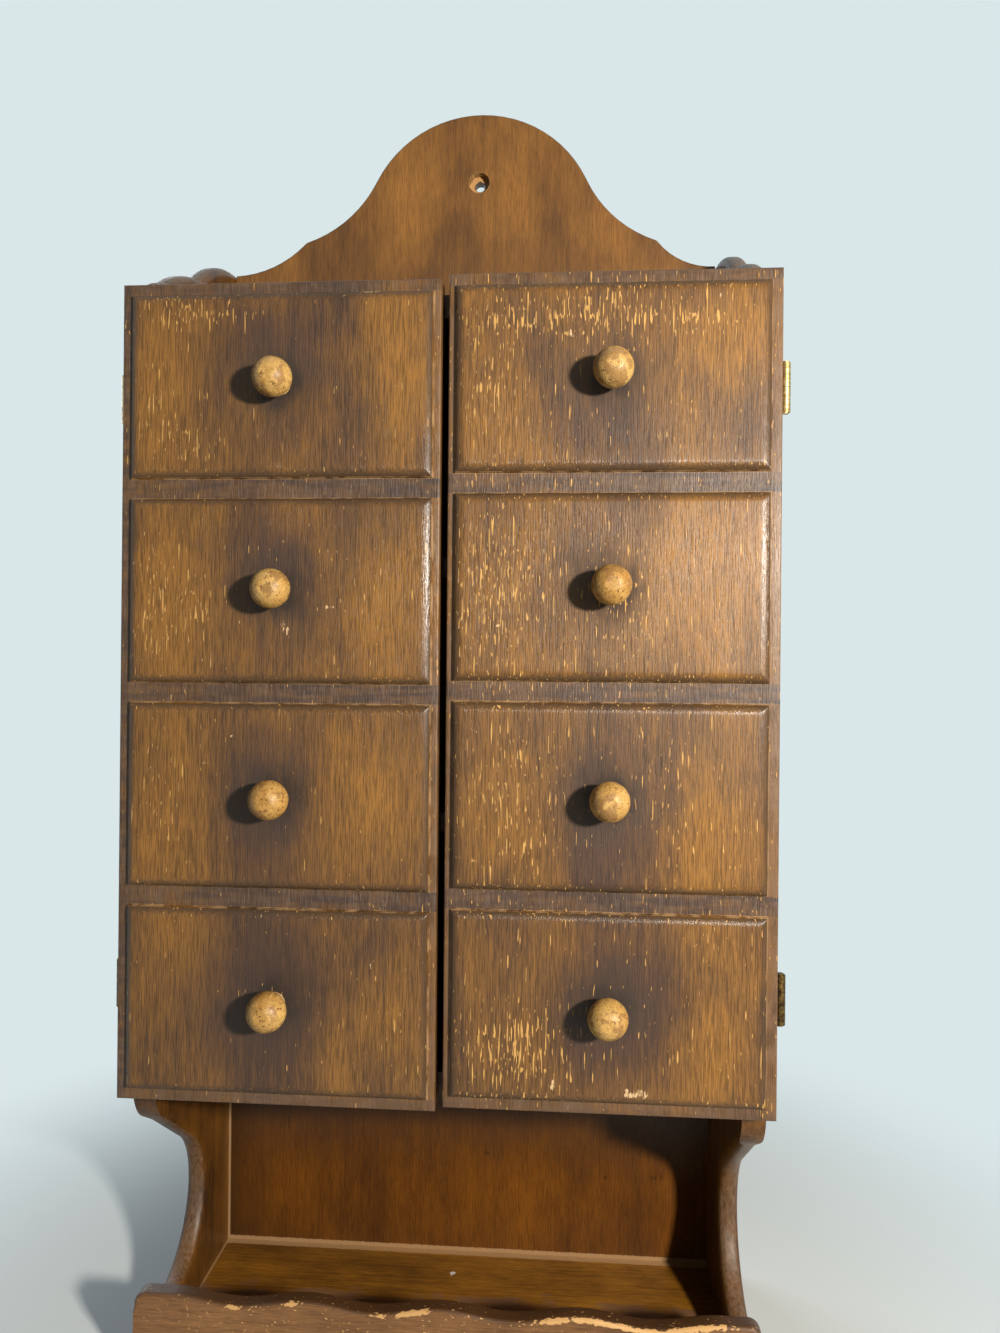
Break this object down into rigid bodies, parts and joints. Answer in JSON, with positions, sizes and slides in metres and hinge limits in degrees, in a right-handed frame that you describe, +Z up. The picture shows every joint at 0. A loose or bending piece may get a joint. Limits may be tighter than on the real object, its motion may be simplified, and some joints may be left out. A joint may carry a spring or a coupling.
{
  "type": "spice cabinet",
  "caption": "Small wooden wall or shelf cabinet with a crested back, an open top shelf, hinged doors made to look like drawers with ball knobs, and an open tray bay with a wavy lip.",
  "frame": {"origin": "centre of the bounding box in plan, on the plane the cabinet stands on", "axes": "+Z up, towards the crest; -Y out of the front, where the doors and knobs are; +X to the right of someone who faces the front"},
  "size_m": [0.2756, 0.1286, 0.583],
  "materials": {
    "crest_wood": "stained and varnished, open vertical grain",
    "board_wood": "stained and varnished, grain across",
    "side_wood": "stained and varnished, vertical grain, worn arrises",
    "door_wood": "stained and varnished, flecked with age",
    "knob_wood": "bare honey-coloured wood, stained by handling",
    "lip_wood": "stained and varnished, worn top edge",
    "hinge_brass": "bright, lightly tarnished",
    "aged_hinge_brass": "dark and tarnished",
    "screw_brass": "tarnished",
    "screw_steel": "plain",
    "nail_steel": "dull",
    "catch_plastic": "matte brown",
    "magnet": "dull grey ferrite",
    "strike_steel": "zinc-plated"
  },
  "bodies": {
    "cabinet": {"back_board": "crest_wood", "top_board": "board_wood", "tray_floor": "board_wood", "bottom_board": "board_wood", "lower_shelf": "board_wood", "upper_shelf": "board_wood", "tray_lip": "lip_wood", "tray_lip_nails": "nail_steel", "left_side": "side_wood", "left_side_nails": "nail_steel", "left_upper_hinge_case_leaf": "hinge_brass", "left_upper_hinge_pin": "hinge_brass", "left_lower_hinge_case_leaf": "aged_hinge_brass", "left_lower_hinge_pin": "aged_hinge_brass", "left_case_hinge_screws": "screw_brass", "left_catch": "catch_plastic", "left_catch_magnet": "magnet", "left_catch_screws": "screw_steel", "right_side": "side_wood", "right_side_nails": "nail_steel", "right_upper_hinge_case_leaf": "hinge_brass", "right_upper_hinge_pin": "hinge_brass", "right_lower_hinge_case_leaf": "aged_hinge_brass", "right_lower_hinge_pin": "aged_hinge_brass", "right_case_hinge_screws": "screw_brass", "right_catch": "catch_plastic", "right_catch_magnet": "magnet", "right_catch_screws": "screw_steel"},
    "left_door": {"left_door": "door_wood", "left_knob_1": "knob_wood", "left_knob_2": "knob_wood", "left_knob_3": "knob_wood", "left_knob_4": "knob_wood", "left_knob_screws": "screw_steel", "left_upper_hinge_door_leaf": "hinge_brass", "left_lower_hinge_door_leaf": "aged_hinge_brass", "left_door_hinge_screws": "screw_brass", "left_strike": "strike_steel", "left_strike_screw": "screw_steel"},
    "right_door": {"right_door": "door_wood", "right_knob_1": "knob_wood", "right_knob_2": "knob_wood", "right_knob_3": "knob_wood", "right_knob_4": "knob_wood", "right_knob_screws": "screw_steel", "right_upper_hinge_door_leaf": "hinge_brass", "right_lower_hinge_door_leaf": "aged_hinge_brass", "right_door_hinge_screws": "screw_brass", "right_strike": "strike_steel", "right_strike_screw": "screw_steel"}
  },
  "joints": [
    {"name": "left_door_hinge", "type": "hinge", "parent": "cabinet", "child": "left_door", "pos_m": [-0.1357, -0.0337, 0.29225], "axis": [0, 0, -1], "range_deg": [0, 180]},
    {"name": "right_door_hinge", "type": "hinge", "parent": "cabinet", "child": "right_door", "pos_m": [0.1357, -0.0337, 0.29405], "axis": [0, 0, 1], "range_deg": [0, 180]}
  ]
}
